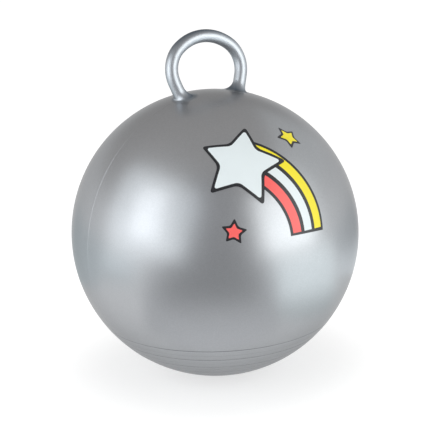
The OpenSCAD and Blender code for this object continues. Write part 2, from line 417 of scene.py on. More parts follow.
@dataclass(frozen=True)
class GlossVinyl:
    """The handle's PVC: the same silver paste from a polished mould.

    Its clear top is glossier than the ball's and its paste is bluer, so that the thin tube shows
    narrow, bluish highlights. Its upper side is darkened by a painted shade. At the webs it runs out
    into the ball's satin finish, through a duller band darkened by a painted shade where the handle
    meets the ball.
    """

    skin: PearlVinyl
    name: str = "gloss_pvc_moulded"
    colour: str = "#B0B4B9"
    # Painted shade: the tube's upward-facing side is darkened towards this colour.
    upper_painted_shade_colour: str = "#727B85"
    # Painted shade: the webs are darkened towards this colour where the handle meets the ball.
    web_painted_shade_colour: str = "#979CA1"
    metallic: float = 0.9
    roughness: float = 0.39
    web_roughness: float = 0.4
    coat: float = 0.15
    coat_roughness: float = 0.18
    edge_tint: str = "#8F959A"
    web_start: float = 0.6          # height over the ball where the webs' painted shade and duller roughness are full
    run_out: float = 2.5            # height where the handle's own finish is full
    upper_painted_shade_share: tuple[float, float] = (0.4, 0.9)       # upward part of the normal, from plain to the full painted shade
    ripple_spacing: float = 16.0
    ripple_detail: float = 2.0
    ripple_depth: float = 0.06
    ripple_strength: float = 0.5

    def make(self) -> bpy.types.Material:
        """Builds the material.

        Returns:
            The material.
        """
        material, tree = blank_material(self.name)
        place = add_node(tree, "ShaderNodeTexCoord").outputs["Object"]
        from_centre = add_node(tree, "ShaderNodeVectorMath",
                               {0: place, 1: self.skin.ball_centre * MM}, operation="DISTANCE")
        surface = self.skin.ball_radius
        on_web, on_tube = (add_node(tree, "ShaderNodeMapRange",
                                    {"Value": from_centre.outputs["Value"],
                                     "From Min": (surface + low) * MM,
                                     "From Max": (surface + high) * MM},
                                    interpolation_type="SMOOTHSTEP").outputs["Result"]
                           for low, high in ((0.0, self.web_start), (self.web_start, self.run_out)))
        # Painted shade: the webs darken near the ball, in the crease where the handle meets it.
        web = add_node(tree, "ShaderNodeMix",
                       {"Factor": on_web, "A": linear(self.skin.colour), "B": linear(self.web_painted_shade_colour)},
                       data_type="RGBA")
        # Painted shade: upward-facing parts of the tube are darkened, by the normal kept in the mesh.
        facing = add_node(tree, "ShaderNodeAttribute", attribute_name=UPWARD_PAINTED_SHADE)
        plain, dark = self.upper_painted_shade_share
        upward_painted_shade = add_node(tree, "ShaderNodeMapRange",
                           {"Value": facing.outputs["Fac"], "From Min": plain, "From Max": dark})
        tube = add_node(tree, "ShaderNodeMix",
                        {"Factor": upward_painted_shade.outputs["Result"], "A": linear(self.colour),
                         "B": linear(self.upper_painted_shade_colour)},
                        data_type="RGBA")
        tint = add_node(tree, "ShaderNodeMix",
                        {"Factor": on_tube, "A": web.outputs["Result"], "B": tube.outputs["Result"]},
                        data_type="RGBA")
        dull = add_node(tree, "ShaderNodeMix",
                        {"Factor": on_web, "A": self.skin.roughness, "B": self.web_roughness},
                        data_type="FLOAT")
        rough = add_node(tree, "ShaderNodeMix",
                         {"Factor": on_tube, "A": dull.outputs["Result"], "B": self.roughness},
                         data_type="FLOAT")
        ripples = add_node(tree, "ShaderNodeTexNoise",
                           {"Vector": place, "Scale": pattern_scale(self.ripple_spacing),
                            "Detail": self.ripple_detail})
        bump = add_node(tree, "ShaderNodeBump",
                        {"Height": ripples.outputs["Fac"], "Strength": self.ripple_strength,
                         "Distance": self.ripple_depth * MM})
        shader = add_node(tree, "ShaderNodeBsdfPrincipled",
                          {"Base Color": tint.outputs["Result"], "Roughness": rough.outputs["Result"],
                           "Normal": bump.outputs["Normal"], "Metallic": self.metallic,
                           "Specular Tint": linear(self.edge_tint), "Coat Weight": self.coat,
                           "Coat Roughness": self.coat_roughness})
        add_node(tree, "ShaderNodeOutputMaterial", {"Surface": shader.outputs["BSDF"]})
        return material


@dataclass(frozen=True)
class MouldedPlastic:
    """A plain moulded plastic or rubber with a fine spark-eroded grain and faint stains."""

    name: str
    colour: str
    worn_colour: str
    roughness: float
    ior: float
    polish: float = 0.04            # how much smoother than its roughness it is at most
    scuffing: float = 0.06          # how much rougher
    grain_spacing: float = 0.5
    grain_detail: float = 3.0
    grain_depth: float = 0.02
    grain_strength: float = 0.4
    stain_spacing: float = 9.0
    stain_detail: float = 4.0

    def make(self) -> bpy.types.Material:
        """Builds the material.

        Returns:
            The material.
        """
        material, tree = blank_material(self.name)
        place = add_node(tree, "ShaderNodeTexCoord").outputs["Object"]
        grain = add_node(tree, "ShaderNodeTexNoise",
                         {"Vector": place, "Scale": pattern_scale(self.grain_spacing),
                          "Detail": self.grain_detail})
        stains = add_node(tree, "ShaderNodeTexNoise",
                          {"Vector": place, "Scale": pattern_scale(self.stain_spacing),
                           "Detail": self.stain_detail})
        tint = add_node(tree, "ShaderNodeMix",
                        {"Factor": stains.outputs["Fac"], "A": linear(self.colour),
                         "B": linear(self.worn_colour)},
                        data_type="RGBA")
        rough = add_node(tree, "ShaderNodeMapRange",
                         {"Value": stains.outputs["Fac"], "To Min": self.roughness - self.polish,
                          "To Max": self.roughness + self.scuffing})
        bump = add_node(tree, "ShaderNodeBump",
                        {"Height": grain.outputs["Fac"], "Strength": self.grain_strength,
                         "Distance": self.grain_depth * MM})
        shader = add_node(tree, "ShaderNodeBsdfPrincipled",
                          {"Base Color": tint.outputs["Result"], "Roughness": rough.outputs["Result"],
                           "Normal": bump.outputs["Normal"], "IOR": self.ior})
        add_node(tree, "ShaderNodeOutputMaterial", {"Surface": shader.outputs["BSDF"]})
        return material


@dataclass(frozen=True)
class ScreenInk:
    """Solvent vinyl ink, screen printed.

    It lies flat and slightly glossy, with the faint weave of the screen left in its surface.
    """

    name: str
    colour: str
    thin_colour: str
    roughness: float = 0.34
    mesh_spacing: float = 0.9       # a real screen has about 0.15 mm; drawn coarse enough to show
    mesh_depth: float = 0.01
    mesh_strength: float = 0.3
    patch_spacing: float = 35.0
    patch_detail: float = 4.0

    def make(self) -> bpy.types.Material:
        """Builds the material.

        Returns:
            The material.
        """
        material, tree = blank_material(self.name)
        place = add_node(tree, "ShaderNodeTexCoord").outputs["Object"]
        patches = add_node(tree, "ShaderNodeTexNoise",
                           {"Vector": place, "Scale": pattern_scale(self.patch_spacing),
                            "Detail": self.patch_detail})
        tint = add_node(tree, "ShaderNodeMix",
                        {"Factor": patches.outputs["Fac"], "A": linear(self.colour),
                         "B": linear(self.thin_colour)},
                        data_type="RGBA")
        threads = [add_node(tree, "ShaderNodeTexWave",
                            {"Vector": place, "Scale": pattern_scale(self.mesh_spacing) / (2 * math.pi)},
                            bands_direction=axis)
                   for axis in ("X", "Z")]
        weave = add_node(tree, "ShaderNodeMath",
                         {0: threads[0].outputs["Fac"], 1: threads[1].outputs["Fac"]},
                         operation="MULTIPLY")
        bump = add_node(tree, "ShaderNodeBump",
                        {"Height": weave.outputs["Value"], "Strength": self.mesh_strength,
                         "Distance": self.mesh_depth * MM})
        shader = add_node(tree, "ShaderNodeBsdfPrincipled",
                          {"Base Color": tint.outputs["Result"], "Roughness": self.roughness,
                           "Normal": bump.outputs["Normal"]})
        add_node(tree, "ShaderNodeOutputMaterial", {"Surface": shader.outputs["BSDF"]})
        return material


def finish_piece(piece: bpy.types.Object, material: bpy.types.Material, body: Body) -> None:
    """Dresses a piece and makes it move with its body.

    Args:
        piece: The finished mesh.
        material: Its only material.
        body: The CAD body that it rides on.
    """
    piece.data.materials.clear()
    piece.data.materials.append(material)
    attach(piece, body.value)
    triangles = sum(len(face.vertices) - 2 for face in piece.data.polygons)
    LOG.info("%s: %d triangles on %s", piece.name, triangles, body.value)


# The ball


@dataclass
class BallSkin:
    """The inflated skin, spun from one profile with its grip rings and its mould line."""

    radius: float
    centre_z: float
    wall: float = 1.2
    ring_start: float = 35.3        # degrees below the equator
    ring_pitch: float = 25.5        # along the skin
    ring_width: float = 2.4
    ring_depth: float = 0.5
    hairline_width: float = 1.6
    hairline_depth: float = 0.22
    ring_margin: float = 11.0       # least distance from the last ring to the flat
    profile_step: float = 1.4       # degrees of latitude from one row of vertices to the next
    dip_steps: int = 3              # rows of vertices from a ring's bottom to its side
    dip_reach_share: float = 0.75   # of a ring's width, from its middle to the next plain row
    half_columns: int = 98          # plain columns of faces in half a turn
    seam_turn: float = 0.0          # degrees from the handle's plane to the mould line
    seam_width: float = 1.3
    seam_height: float = 0.23
    seam_guard: float = 0.9         # narrow columns beside the line, which keep its shading narrow
    seam_stop: float = 20.0         # the line ends this far from the ball's axis
    seam_start: float = 1.0         # and begins this high over the floor
    valve_hole: float = 26.1
    valve_sides: int = 96
    valve_patch: float = 26.0       # how far round the valve the skin is divided
    valve_cuts: int = 3
    valve_round_share: float = 1.3  # how far round it is rounded, as a share of the patch
    cutter_depth: float = 12.0      # enough to go right through the skin
    smooth_angle: float = 35.0      # edges sharper than this many degrees stay sharp
    # Each ring's latitude, width and depth.
    dips: list[tuple[float, float, float]] = field(init=False, default_factory=list)

    def __post_init__(self) -> None:
        """Works out each ring's latitude, width and depth."""
        rest_radius = math.sqrt(self.radius ** 2 - self.centre_z ** 2)
        self.rest_latitude = math.degrees(math.acos(rest_radius / self.radius))
        pitch = math.degrees(self.ring_pitch / self.radius)
        last = self.rest_latitude - math.degrees(self.ring_margin / self.radius)
        count = 1 + int((last - self.ring_start) // pitch)
        for i in range(count):
            self.dips.append((self.ring_start + i * pitch, self.ring_width, self.ring_depth))
        for i in range(count - 1):
            self.dips.append((self.ring_start + (i + 0.5) * pitch, self.hairline_width,
                              self.hairline_depth))

    @property
    def centre(self) -> Vector:
        """The ball's centre, in millimetres."""
        return Vector((0, 0, self.centre_z))

    def depth_at(self, below: float) -> float:
        """Gives how deep the surface dips.

        Args:
            below: A latitude in degrees below the equator.

        Returns:
            The depth under the plain ball, in millimetres.
        """
        depth = 0.0
        for latitude, width, deepest in self.dips:
            offset = math.radians(abs(below - latitude)) * self.radius / (width / 2)
            if offset < 1:
                depth = max(depth, deepest * (1 + math.cos(math.pi * offset)) / 2)
        return depth

    def profile(self) -> Points:
        """Gives the profile from the middle of the flat to the top pole.

        Returns:
            Points in the XZ plane turned to the mould line, in millimetres.
        """
        latitudes = set()
        steps = int((self.rest_latitude + 90) / self.profile_step)
        for i in range(steps + 1):
            below = self.rest_latitude - i * (self.rest_latitude + 90) / steps
            near = any(abs(below - latitude) < math.degrees(width * self.dip_reach_share / self.radius)
                       for latitude, width, _ in self.dips)
            if not near:
                latitudes.add(below)
        for latitude, width, _ in self.dips:
            for i in range(-self.dip_steps, self.dip_steps + 1):
                share = i / self.dip_steps
                latitudes.add(latitude + share * math.degrees(width / 2 / self.radius))
        turn = math.radians(self.seam_turn)
        points = [(0.0, 0.0, 0.0)]
        for below in sorted(latitudes, reverse=True):
            reach = self.radius - self.depth_at(below)
            across = reach * math.cos(math.radians(below))
            height = max(self.centre_z - reach * math.sin(math.radians(below)), 0.0)
            points.append((across * math.cos(turn), across * math.sin(turn), height))
        return points

    def raise_seam(self, skin: bpy.types.Object) -> None:
        """Lifts the mould line's middle column of vertices out of the skin.

        Args:
            skin: The spun surface.
        """
        turn = math.radians(self.seam_turn)
        plane_normal = Vector((-math.sin(turn), math.cos(turn), 0))
        with editing(skin):
            select_vertices(skin, lambda place: abs(place.dot(plane_normal)) < ON_PLANE * MM
                            and place.z > self.seam_start * MM
                            and place.xy.length > self.seam_stop * MM)
            swell = 1 + self.seam_height / self.radius
            bpy.ops.transform.resize(value=(swell, swell, swell), center_override=self.centre * MM)

    def refine_round_valve(self, skin: bpy.types.Object) -> None:
        """Divides the skin round the valve, so that the hole's edge lies on the ball.

        Args:
            skin: The spun surface, whose object stands at the ball's centre.
        """
        valve = Vector((0, self.radius, 0)) * MM
        group = skin.vertex_groups.new(name="valve")
        with editing(skin):
            select_vertices(skin, lambda place: (place - valve).length < self.valve_patch * MM)
            bpy.ops.mesh.subdivide(number_cuts=self.valve_cuts)
            rounded = self.valve_patch * self.valve_round_share
            select_vertices(skin, lambda place: (place - valve).length < rounded * MM)
            bpy.ops.object.vertex_group_assign()
        apply_modifier(skin, "CAST", cast_type="SPHERE", factor=1.0, use_radius_as_size=False,
                       size=self.radius * MM, vertex_group=group.name)
        skin.vertex_groups.clear()

    def build(self) -> bpy.types.Object:
        """Models the skin.

        Returns:
            The finished mesh.
        """
        half_seam = math.degrees(self.seam_width / 2 / self.radius)
        guard = math.degrees(self.seam_guard / self.radius)
        plain = 180 - 2 * half_seam - 2 * guard
        sweeps = [(half_seam, 1), (guard, 1), (plain, self.half_columns), (guard, 1), (half_seam, 1)] * 2
        skin = revolve("ball_skin_visual", self.profile(), self.centre, Vector((0, 0, 1)), sweeps)
        self.raise_seam(skin)
        bpy.context.scene.cursor.location = self.centre * MM
        bpy.ops.object.origin_set(type="ORIGIN_CURSOR")
        bpy.context.scene.cursor.location = (0, 0, 0)
        self.refine_round_valve(skin)
        apply_modifier(skin, "SOLIDIFY", thickness=self.wall * MM, offset=-1.0)
        bore_along_y(skin, self.valve_hole, self.cutter_depth, Vector((0, self.radius, self.centre_z)),
                     self.valve_sides)
        return settle(skin, self.smooth_angle)


# The handle


@dataclass
class RingHandle:
    """The hollow ring, swept from a circle, with webs that run out into the ball."""

    ball_radius: float
    ball_centre_z: float
    tube: float = 19.8
    foot_span: float = 103.0        # from the middle of one foot to the other's
    leg_length: float = 26.0
    leg_splay: float = 18.6         # degrees that a leg leans outwards
    shoulder_radius: float = 45.0
    crown_turn: float = 37.4        # degrees from the middle of the crown to a shoulder
    lean: float = 11.0              # degrees that the loop leans back
    web_in: float = 15.0            # radius of a foot's web towards the other foot
    web_out: float = 4.0            # and away from it
    web_side_in: float = 17.0       # at its front and back, near the inner side
    web_side_out: float = 9.0       # and near the outer side
    rim: float = 0.12               # height of the webs' edge over the foot's middle
    foot_depth: float = 0.8         # how far the closed end reaches down into the skin
    leg_ring_shares: tuple[float, float] = (0.66, 0.33)     # of the plain leg, over the webs
    sides: int = 64
    web_rings: int = 16
    shoulder_rings: int = 22
    crown_rings: int = 11
    smooth_angle: float = 60.0

    def __post_init__(self) -> None:
        """Works out the middle line's arcs and where the foot stands."""
        splay, turn = math.radians(self.leg_splay), math.radians(self.crown_turn)
        self.foot = self.foot_span / 2
        self.foot_angle = math.asin(self.foot / self.ball_radius)
        self.foot_z = self.ball_centre_z + self.ball_radius * math.cos(self.foot_angle)
        self.shoulder = Vector((
            self.foot + self.leg_length * math.sin(splay) - self.shoulder_radius * math.cos(splay),
            self.leg_length * math.cos(splay) + self.shoulder_radius * math.sin(splay)))
        self.crown_radius = self.shoulder_radius + self.shoulder.x / math.sin(turn)
        self.crown_v = self.shoulder.y - (self.crown_radius - self.shoulder_radius) * math.cos(turn)
        self.web_end = self.rim + max(self.web_in, self.web_out, self.web_side_in, self.web_side_out)
        # The loop is modelled upright and leant back last, so its feet first lean forwards.
        self.forwards = Matrix.Rotation(math.radians(self.lean), 3, "X")
        self.foot_normal = self.forwards @ Vector((math.sin(self.foot_angle), 0,
                                                   math.cos(self.foot_angle)))

    def web_spread(self, web: float, height: float) -> float:
        """Gives how far a web stands out from the tube.

        Args:
            web: The web's radius.
            height: The distance up the leg.

        Returns:
            The distance out from the tube's wall.
        """
        left = min(max(web + self.rim - height, 0), web)
        return web - math.sqrt(web * web - left * left)

    def lay_ring(self, ring: list[bmesh.types.BMVert], height: float) -> None:
        """Lays one ring of a foot on the web's curve, so that its lowest rings follow the ball.

        Args:
            ring: The ring's vertices, in order from the outer side.
            height: The ring's distance up the leg.
        """
        share = min(height / self.web_end, 1.0)
        up = share * share * (3 - 2 * share)
        splay = math.radians(self.leg_splay)
        tilt = self.foot_angle + (splay - self.foot_angle) * up
        middle = Vector((self.foot + height * math.sin(splay), 0, self.foot_z + height * math.cos(splay)))
        turned = (Matrix.Rotation(math.radians(self.lean) * (1 - up), 3, "X")
                  @ Matrix.Rotation(tilt, 3, "Y"))
        for i, vertex in enumerate(ring):
            angle = 2 * math.pi * i / self.sides
            outer = (1 + math.cos(angle)) / 2
            web = self.web_out if math.cos(angle) > 0 else self.web_in
            side = self.web_side_in + (self.web_side_out - self.web_side_in) * outer
            along = math.cos(angle) * (self.tube / 2 + self.web_spread(web, height))
            aside = math.sin(angle) * (self.tube / 2 + self.web_spread(side, height))
            sag = (along ** 2 + aside ** 2) / (2 * self.ball_radius) * (1 - up)
            vertex.co = (middle + turned @ Vector((along, aside, 0)) - self.foot_normal * sag) * MM

    def build(self) -> bpy.types.Object:
        """Models the handle: half a loop is swept and mirrored, then leant back.

        Returns:
            The finished mesh.
        """
        crown = Vector((0, 0, self.foot_z + self.crown_v + self.crown_radius))
        handle = add_primitive("circle", "ring_handle_visual", vertices=self.sides,
                               radius=self.tube / 2 * MM, location=crown * MM,
                               rotation=(0, math.radians(90), 0))
        bpy.ops.object.transform_apply(location=True, rotation=True, scale=True)
        shoulder = Vector((self.shoulder.x, 0, self.foot_z + self.shoulder.y))
        with editing(handle):
            bpy.ops.mesh.select_all(action="SELECT")
            bpy.ops.mesh.spin(steps=self.crown_rings, angle=math.radians(self.crown_turn),
                              center=Vector((0, 0, self.foot_z + self.crown_v)) * MM, axis=(0, -1, 0))
            bpy.ops.mesh.spin(steps=self.shoulder_rings,
                              angle=math.radians(90 + self.leg_splay - self.crown_turn),
                              center=shoulder * MM, axis=(0, -1, 0))
            self.extrude_foot(handle)
        apply_modifier(handle, "MIRROR", use_axis=(True, False, False), use_clip=True,
                       merge_threshold=ON_PLANE * MM)
        with editing(handle):
            bpy.ops.mesh.select_all(action="SELECT")
            bpy.ops.transform.rotate(value=math.radians(self.lean), orient_axis="X",
                                     center_override=(0, 0, self.foot_z * MM))
            bpy.ops.mesh.normals_make_consistent(inside=False)
        settle(handle, self.smooth_angle)
        self.mark_upper_side(handle)
        return handle

    def mark_upper_side(self, handle: bpy.types.Object) -> None:
        """Keeps each vertex's upward share in an attribute, which the painted shade on the handle's upper
        side reads.

        Args:
            handle: The finished mesh.
        """
        marks = handle.data.attributes.new(UPWARD_PAINTED_SHADE, "FLOAT", "POINT")
        for mark, vertex in zip(marks.data, handle.data.vertices):
            mark.value = vertex.normal.z

    def extrude_foot(self, handle: bpy.types.Object) -> None:
        """Extrudes the leg from the shoulder's end ring down to the skin, and caps it.

        Args:
            handle: The swept half loop, in edit mode, with its end ring selected.
        """
        plain = self.leg_length - self.web_end
        heights = [self.web_end + plain * share for share in self.leg_ring_shares]
        heights += [self.rim + (self.web_end - self.rim) * (1 - math.cos(math.pi / 2 * i / self.web_rings))
                    for i in range(self.web_rings, -1, -1)]
        for height in heights:
            bpy.ops.mesh.extrude_region_move()
            mesh = bmesh.from_edit_mesh(handle.data)
            self.lay_ring(self.ring_in_order(mesh), height)
            bmesh.update_edit_mesh(handle.data)
        down = self.foot_normal * -self.foot_depth * MM
        bpy.ops.mesh.extrude_region_move(TRANSFORM_OT_translate={"value": down})
        bpy.ops.mesh.edge_face_add()

    def ring_in_order(self, mesh: bmesh.types.BMesh) -> list[bmesh.types.BMVert]:
        """Puts the selected ring in order round the tube, from its outer side.

        Args:
            mesh: The edited mesh.

        Returns:
            The ring's vertices.
        """
        ring = [vertex for vertex in mesh.verts if vertex.select]
        middle = sum((vertex.co for vertex in ring), Vector()) / len(ring)
        splay = math.radians(self.leg_splay)
        outwards = Vector((math.cos(splay), 0, -math.sin(splay)))

        def turn_of(vertex: bmesh.types.BMVert) -> float:
            """Gives a vertex's angle, from just before the outer side, so that it can't come last."""
            arm = vertex.co - middle
            return (math.atan2(arm.y, arm.dot(outwards)) + math.pi / self.sides) % (2 * math.pi)

        return sorted(ring, key=turn_of)


# The valve


def out_on_ball(radius: float, across: float) -> float:
    """Gives how far out a ball's surface lies at a distance across the valve's axis."""
    return math.sqrt(radius ** 2 - across ** 2)


@dataclass
class ValveSeat:
    """The soft seat, flush with the skin, with a recess, a finger notch and a long sleeve."""

    radius: float
    centre_z: float
    seat: float = 26.0
    flange: float = 40.0
    flange_edge: float = 2.4
    sleeve: float = 15.0
    sleeve_length: float = 15.0
    bore: float = 9.0
    recess: float = 19.2
    recess_depth: float = 2.0
    notch: float = 7.0
    notch_rim: float = 1.2
    wall: float = 1.25              # the skin's, with the gap between it and the flange
    bevel: float = 0.3
    bevel_segments: int = 2
    bevel_angle: float = 40.0
    arc_steps: int = 5
    sides: int = 96
    notch_sides: int = 48
    smooth_angle: float = 35.0

    @property
    def top(self) -> float:
        """How far out the recess's edge and the plug's head end, in millimetres."""
        return out_on_ball(self.radius, self.recess / 2)

    def profile(self) -> Points:
        """Gives the seat's half section, worked out across and along the valve's axis.

        Returns:
            A closed chain of points in the YZ plane, in millimetres.
        """
        inner = self.radius - self.wall
        floor = self.top - self.recess_depth
        under = out_on_ball(inner, self.flange / 2) - self.flange_edge
        end = under - self.sleeve_length
        shares = [i / self.arc_steps for i in range(self.arc_steps + 1)]
        face = [(self.recess + (self.seat - self.recess) * share) / 2 for share in shares]
        shelf = [(self.seat + (self.flange - self.seat) * share) / 2 for share in shares]
        outline = [(self.bore / 2, end), (self.bore / 2, floor), (self.recess / 2, floor)]
        outline += [(across, out_on_ball(self.radius, across)) for across in face]
        outline += [(across, out_on_ball(inner, across)) for across in shelf]
        outline += [(self.flange / 2, under), (self.sleeve / 2, under), (self.sleeve / 2, end),
                    (self.bore / 2, end)]
        return [(0.0, along, self.centre_z - across) for across, along in outline]

    def build(self) -> bpy.types.Object:
        """Models the seat.

        Returns:
            The finished mesh.
        """
        seat = revolve("valve_seat_visual", self.profile(), Vector((0, 0, self.centre_z)),
                       Vector((0, 1, 0)), [(360, self.sides)])
        below = self.seat / 2 - self.notch_rim - self.notch / 2
        bore_along_y(seat, self.notch, 2 * self.recess_depth,
                     Vector((0, self.top, self.centre_z - below)), self.notch_sides)
        apply_modifier(seat, "BEVEL", width=self.bevel * MM, segments=self.bevel_segments,
                       limit_method="ANGLE", angle_limit=math.radians(self.bevel_angle),
                       use_clamp_overlap=True)
        return settle(seat, self.smooth_angle)


@dataclass
class ValvePlug:
    """The push-in stopper: a dimpled head over a ribbed, cored stem."""

    seat: ValveSeat
    head: float = 18.0
    head_thickness: float = 2.0
    head_round: float = 0.6
    head_edge: float = 0.2          # chamfer of the head's lower edge
    dimple: float = 9.0
    dimple_depth: float = 0.6
    dimple_shares: tuple[float, ...] = (0.4, 0.65, 0.8, 0.9, 1.0)
    dimple_power: int = 4           # how flat the dimple's floor is
    stem: float = 8.84
    stem_root: float = 0.4          # chamfer between the head and the stem
    neck_depth: float = 0.5
    stem_length: float = 24.0
    ribs: int = 4
    rib_width: float = 1.6
    rib_power: float = 0.5          # how full the ribs are
    tip_length: float = 5.0
    tip: float = 5.4
    tip_edge: float = 0.2
    tip_ease: float = 0.3           # along the stem, where the tip's taper starts and ends
    tip_ease_depth: float = 0.1     # across it
    core: float = 3.6
    core_floor: float = 3.0
    core_edge: float = 0.5          # chamfer round the core's floor
    round_step: int = 15            # degrees from point to point on the head's round
    rib_step: int = 30              # and on a rib
    sides: int = 80
    smooth_angle: float = 35.0

    def profile(self) -> Points:
        """Gives the plug's half section from the middle of its head to the end of its core.

        Returns:
            A chain of points in the YZ plane, in millimetres.
        """
        top = self.seat.top
        base = top - self.head_thickness
        neck = self.stem / 2 - self.neck_depth
        end = base - self.stem_length
        tip_top = end + self.tip_length
        pitch = (base - tip_top) / (self.ribs + 1)
        outline = [(0.0, top - self.dimple_depth)]
        outline += [(self.dimple / 2 * share, top - self.dimple_depth * (1 - share ** self.dimple_power))
                    for share in self.dimple_shares]
        corner = self.head / 2 - self.head_round
        outline += [(corner + self.head_round * math.sin(math.radians(turn)),
                     top - self.head_round * (1 - math.cos(math.radians(turn))))
                    for turn in range(0, 91, self.round_step)]
        outline += [(self.head / 2, base + self.head_edge), (self.head / 2 - self.head_edge, base),
                    (neck + self.stem_root, base), (neck, base - self.stem_root)]
        for i in range(1, self.ribs + 1):
            middle = base - i * pitch
            for turn in range(0, 181, self.rib_step):
                bulge = math.sin(math.radians(turn)) ** self.rib_power
                along = middle + self.rib_width / 2 * math.cos(math.radians(turn))
                outline.append((neck + self.neck_depth * bulge, along))
        tip, core, floor = self.tip / 2, self.core / 2, base - self.core_floor
        outline += [(neck, tip_top + self.tip_ease), (neck - self.tip_ease_depth, tip_top),
                    (tip + self.tip_ease_depth, end + self.tip_ease), (tip - self.tip_edge, end),
                    (core + self.tip_edge, end), (core, end + self.tip_ease),
                    (core, floor - self.core_edge), (core - self.core_edge, floor), (0.0, floor)]
        return [(0.0, along, self.seat.centre_z - across) for across, along in outline]

    def build(self) -> bpy.types.Object:
        """Models the plug.

        Returns:
            The finished mesh.
        """
        plug = revolve("valve_plug_visual", self.profile(), Vector((0, 0, self.seat.centre_z)),
                       Vector((0, 1, 0)), [(360, self.sides)])
        return settle(plug, self.smooth_angle)


# The print


@dataclass
class PrintLayer:
    """Where flat motifs are drawn, and how they are laid on the ball as films of ink."""

    ball_radius: float
    ball_centre_z: float
    latitude: float = 32.0          # degrees above the equator
    longitude: float = -7.0         # degrees from the front, towards +X
    film: float = 0.09              # thickness of one coat of ink, thicker than real to clear the skin
    gap_share: float = 0.5          # of a film, left free over the skin
    grid: float = 7.0
    grid_offset: float = 0.013      # keeps the grid's lines off the motifs' own points
    smooth_angle: float = 50.0

    def cut_into_grid(self, motif: bpy.types.Object) -> None:
        """Cuts a flat motif along a grid, so that it can follow the ball.

        Args:
            motif: The flat mesh in the XY plane, with its place in its mesh.
        """
        reach = max(max(abs(vertex.co.x), abs(vertex.co.y)) for vertex in motif.data.vertices)
        lines = int(reach / (self.grid * MM)) + 1
        with editing(motif):
            for normal in (Vector((1, 0, 0)), Vector((0, 1, 0))):
                for i in range(-lines, lines + 1):
                    line = normal * (i * self.grid + self.grid_offset) * MM
                    bpy.ops.mesh.select_all(action="SELECT")
                    bpy.ops.mesh.bisect(plane_co=line, plane_no=normal)

    def lay(self, motif: bpy.types.Object, coat: int) -> bpy.types.Object:
        """Lays a flat motif on the ball as a film.

        Args:
            motif: The flat mesh in the XY plane, X to the right and Y up on the print.
            coat: Which coat of ink it is, counted from 1 at the skin.

        Returns:
            The same object, finished.
        """
        select_only(motif)
        bpy.ops.object.transform_apply(location=True, rotation=True, scale=True)
        if motif.data.polygons[0].normal.z < 0:
            motif.data.flip_normals()
        self.cut_into_grid(motif)
        outer = (self.ball_radius + self.film * (coat + self.gap_share)) * MM
        tilt = math.radians(90 - self.latitude)
        turn = math.radians(self.longitude)
        stand = (Matrix.Rotation(turn, 4, "Z") @ Matrix.Rotation(tilt, 4, "X")
                 @ Matrix.Translation((0, 0, self.ball_radius * MM)))
        motif.data.transform(stand)
        apply_modifier(motif, "CAST", cast_type="SPHERE", factor=1.0, use_radius_as_size=False,
                       size=outer)
        apply_modifier(motif, "SOLIDIFY", thickness=self.film * MM, offset=-1.0)
        motif.location = (0, 0, self.ball_centre_z * MM)
        return settle(motif, self.smooth_angle)


@dataclass
class Star:
    """One printed star with rounded tips and a dark outline."""

    name: str
    across: float                   # where its middle lies on the print
    up: float
    radius: float                   # to a tip, before the tips are rounded
    fill: Slot
    turn: float = 0.0
    points: int = 5
    inner_share: float = 0.52       # the inner corners' distance, as a share of the tips'
    outline: float = 4.6
    tip_round: float = 7.0
    tip_segments: int = 6
    coat: int = 1                   # coat of ink that the outline lies in

    def flat(self, name: str, shrink: float) -> bpy.types.Object:
        """Draws the star flat. All its edges lie equally far from its middle, so drawing them in
        by one distance gives the same star at a smaller size.

        Args:
            name: The new object's name.
            shrink: How far its edge is drawn in, in millimetres.

        Returns:
            A flat mesh in the XY plane.
        """
        corner = math.pi / self.points
        inner = self.inner_share
        side = math.sqrt(1 + inner ** 2 - 2 * inner * math.cos(corner))
        edge_distance = self.radius * inner * math.sin(corner) / side
        size = 1 - shrink / edge_distance
        star = add_primitive("circle", name, vertices=2 * self.points,
                             radius=self.radius * size * MM, fill_type="NGON")

        def between_tips(place: Vector) -> bool:
            """Says whether a corner is drawn in: every second one, from the one at +Y."""
            return round(math.atan2(place.x, place.y) / corner) % 2 == 0

        with editing(star):
            drawn_in = select_vertices(star, between_tips)
            assert drawn_in == self.points, f"{name} has {drawn_in} inner corners"
            bpy.ops.transform.resize(value=(inner, inner, inner), center_override=(0, 0, 0))
            bpy.ops.mesh.select_all(action="SELECT")
            bpy.ops.mesh.bevel(offset=self.tip_round * size * MM, offset_type="OFFSET",
                               segments=self.tip_segments, affect="VERTICES")
        star.rotation_euler.z = math.radians(self.turn)
        star.location = (self.across * MM, self.up * MM, 0)
        return star

    def build(self, layer: PrintLayer) -> list[tuple[bpy.types.Object, Slot]]:
        """Prints the star in two coats, the outline's and the fill's.

        Args:
            layer: Where the print lies on the ball.

        Returns:
            Each film and its ink.
        """
        under = layer.lay(self.flat(f"{self.name}_outline", 0.0), self.coat)
        over = layer.lay(self.flat(f"{self.name}_fill", self.outline), self.coat + 1)
        return [(under, Slot.BLACK), (over, self.fill)]


